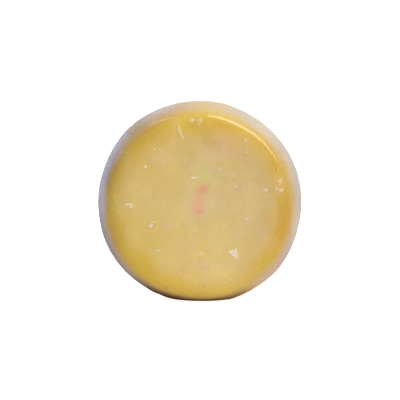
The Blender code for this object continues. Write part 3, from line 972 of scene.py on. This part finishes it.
def rind_colour(wheel):
    """The rind's colour everywhere, and where it has dry bloom and where the painted contact shade lies."""
    # painted light and shade, mixed with uneven tone, from the table of patches
    patches = 1.0
    for *oval, darker in LIGHT_AND_TONE_PATCHES:
        here = wheel.blob(wheel.spun, *oval, hidden=wheel.back_rim)
        patches = wheel.product(wheel.math("MULTIPLY_ADD", here, -darker, 1.0), patches)
    colour = ring_over(wheel, face_colour(wheel))
    colour = ink_over(wheel, stain_over(wheel, colour))
    colour, bloom = heel_over(wheel, colour)
    colour = shoulder_over(wheel, colour)
    for tint, *oval, share in TINTS:
        here = wheel.blob(wheel.spun, *oval, hidden=wheel.back_rim)
        colour = wheel.tinted(colour, tint, here, share)
    colour, foot_shade = foot_over(wheel, pits_over(wheel, colour))
    heel = wheel.step(wheel.out, 0.0920, 0.0975)
    specks = wheel.product(heel, wheel.step(wheel.across, 0.07, -0.09, 0.10, 0.60))
    rough = wheel.math("ADD", wheel.step(wheel.out, 0.070, 0.085, 0.10, 0.22), specks)
    shade = wheel.product(
        wheel.uneven(1.0, rough, wheel.fine),
        wheel.uneven(1.0, rough, wheel.grain),
        wheel.step(wheel.streaks, 0.3, 0.7, 0.970, 1.030),
        patches,
    )
    return wheel.shaded(colour, shade), bloom, foot_shade


def rind_material():
    material = bpy.data.materials.new("rind")
    wheel = WheelGraph(material)
    colour, bloom, foot_shade = rind_colour(wheel)
    dry = wheel.math("MAXIMUM", bloom, foot_shade)
    shader = wheel.tree.nodes["Principled BSDF"]
    wheel.put(shader.inputs["Base Color"], colour)
    rough = wheel.step(wheel.patchy, 0.3, 0.7, 0.40, 0.50)
    rough = wheel.math("MULTIPLY_ADD", dry, 0.15, rough)
    wheel.put(shader.inputs["Roughness"], wheel.math("MULTIPLY_ADD", foot_shade, 0.35, rough))
    shader.inputs["IOR"].default_value = 1.45
    wheel.put(shader.inputs["Coat Weight"], wheel.math("MULTIPLY_ADD", dry, -0.65, 0.70))
    shader.inputs["Coat Roughness"].default_value = 0.10
    shader.inputs["Subsurface Weight"].default_value = 0.15
    shader.inputs["Subsurface Radius"].default_value = (1.0, 0.6, 0.25)
    shader.inputs["Subsurface Scale"].default_value = 0.004
    relief = wheel.math("MULTIPLY_ADD", wheel.fine, 0.6, wheel.product(wheel.grain, 0.25))
    relief = wheel.math("MULTIPLY_ADD", wheel.streaks, 0.4, relief)
    bump = wheel.add("ShaderNodeBump", {"Strength": 0.3, "Distance": 0.0004, "Height": relief})
    wheel.put(shader.inputs["Normal"], bump.outputs[0])
    return material


def flake_material(rind):
    """The rind's material with a matt, whitish colour over it, partly dried coating and partly a painted
    glint of light on the coating.
    """
    material = rind.copy()
    material.name = "flake"
    wheel = WheelGraph(material)
    shader = wheel.tree.nodes["Principled BSDF"]
    colour = shader.inputs["Base Color"].links[0].from_socket
    whiteness = wheel.add("ShaderNodeAttribute", {}, attribute_name="whiteness").outputs["Fac"]
    mottle = wheel.noise(wheel.place, 0.0018, 3.0)
    coating = wheel.mix(wheel.step(wheel.across, -0.050, 0.050), FLAKE_GLINT_CREAM, FLAKE_GLINT_WHITE)
    colour = wheel.tinted(colour, coating, whiteness, wheel.step(mottle, 0.38, 0.58, 0.45, 1.0))
    wheel.put(shader.inputs["Base Color"], colour)
    wheel.put(shader.inputs["Roughness"], wheel.step(mottle, 0.3, 0.7, 0.35, 0.55))
    wheel.tree.links.remove(shader.inputs["Coat Weight"].links[0])
    shader.inputs["Coat Weight"].default_value = 0.0
    shader.inputs["Subsurface Weight"].default_value = 0.0
    bump = wheel.add("ShaderNodeBump", {"Strength": 0.4, "Distance": 0.0002, "Height": mottle})
    wheel.put(shader.inputs["Normal"], bump.outputs[0])
    return material


def add_piece(mesh, material):
    mesh.materials.append(material)
    piece = bpy.data.objects.new(mesh.name, mesh)
    bpy.context.scene.collection.objects.link(piece)
    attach(piece, "root")
    return piece


def build_wheel():
    coating = rind_material()
    rind = add_piece(rind_mesh(), coating)
    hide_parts(WHEEL)
    bpy.context.view_layer.update()
    tree = BVHTree.FromObject(rind, bpy.context.evaluated_depsgraph_get())
    add_piece(flakes_mesh(tree), flake_material(coating))


def build_floor():
    """A wide pale floor. To the camera it is lit up nearly to white, but it lights the wheel only softly."""
    floor = bmesh.new()
    bmesh.ops.create_grid(floor, x_segments=1, y_segments=1, size=FLOOR_REACH)
    mesh = bpy.data.meshes.new("floor")
    floor.to_mesh(mesh)
    floor.free()
    material = bpy.data.materials.new("floor")
    graph = Graph(material)
    shader = graph.tree.nodes["Principled BSDF"]
    shader.inputs["Base Color"].default_value = FLOOR_GREY
    shader.inputs["Roughness"].default_value = 0.9
    shader.inputs["Specular IOR Level"].default_value = 0.0
    shader.inputs["Emission Color"].default_value = FLOOR_GLOW
    seen = graph.add("ShaderNodeLightPath", {}).outputs["Is Camera Ray"]
    glow = graph.math("MULTIPLY_ADD", seen, FLOOR_SEEN, FLOOR_LIGHT)
    graph.put(shader.inputs["Emission Strength"], glow)
    mesh.materials.append(material)
    plane = bpy.data.objects.new("floor", mesh)
    bpy.context.scene.collection.objects.link(plane)


def look_from(thing, place, target, sideways=None):
    """Put a camera or a light somewhere and turn it to the target, its width along sideways if given."""
    back = (place - target).normalized()
    across = sideways or Vector((0, 0, 1)).cross(back)
    across = (across - back * across.dot(back)).normalized()
    thing.rotation_euler = Matrix((across, back.cross(across), back)).transposed().to_euler()
    thing.location = place


def camera_direction():
    return Vector((0.0, -math.cos(CAMERA_ELEVATION), math.sin(CAMERA_ELEVATION)))


def build_camera():
    camera = bpy.data.objects.new("camera", bpy.data.cameras.new("camera"))
    bpy.context.scene.collection.objects.link(camera)
    camera.data.lens = CAMERA_LENS
    look_from(camera, MIDDLE + camera_direction() * CAMERA_DISTANCE, MIDDLE + CAMERA_AIM)
    bpy.context.scene.camera = camera


def build_lights():
    """A long soft key light at the upper right, lying across its own direction."""
    front = camera_direction()
    right = Vector((1.0, 0.0, 0.0))
    up = right.cross(-front).normalized()
    radial = right * math.cos(KEY_TURN) + up * math.sin(KEY_TURN)
    tangent = up * math.cos(KEY_TURN) - right * math.sin(KEY_TURN)
    direction = front * math.cos(KEY_POLAR) + radial * math.sin(KEY_POLAR)
    data = bpy.data.lights.new("key", "AREA")
    data.shape = "ELLIPSE"
    data.size, data.size_y = KEY_SIZE
    data.energy = KEY_POWER
    data.color = KEY_COLOUR
    key = bpy.data.objects.new("key", data)
    bpy.context.scene.collection.objects.link(key)
    look_from(key, MIDDLE + direction * KEY_DISTANCE, MIDDLE, tangent)


def build_world():
    """Pale light from all round, brightest from above on the right and cool and dim from the left."""
    world = bpy.data.worlds.new("studio")
    bpy.context.scene.world = world
    graph = Graph(world)
    direction = graph.add("ShaderNodeTexCoord", {}).outputs["Generated"]
    across, depth, up = graph.add("ShaderNodeSeparateXYZ", {0: direction}).outputs
    side = graph.step(graph.math("MULTIPLY_ADD", up, -0.35, across), -0.9, 0.2)
    front = graph.mix(side, FRONT_LEFT, FRONT_MIDDLE)
    front = graph.tinted(front, FRONT_RIGHT, graph.step(across, 0.2, 0.9))
    overhead = graph.mix(graph.step(across, -0.5, 0.3), OVERHEAD_LEFT, OVERHEAD_RIGHT)
    front = graph.tinted(front, overhead, graph.step(up, 0.35, 0.90))
    behind = graph.mix(side, BEHIND_LEFT, BEHIND_RIGHT)
    behind_top = graph.mix(side, BEHIND_TOP_LEFT, BEHIND_TOP_RIGHT)
    behind = graph.tinted(behind, behind_top, graph.step(up, 0.15, 0.70))
    colour = graph.tinted(front, behind, graph.step(depth, 0.2, 0.9))
    seen = graph.add("ShaderNodeLightPath", {}).outputs["Is Camera Ray"]
    colour = graph.tinted(colour, BACKDROP, seen)
    background = graph.tree.nodes["Background"]
    graph.put(background.inputs["Color"], colour)
    background.inputs["Strength"].default_value = 1.0


build_wheel()
build_floor()
build_camera()
build_lights()
build_world()
bpy.context.scene.view_settings.view_transform = "Standard"
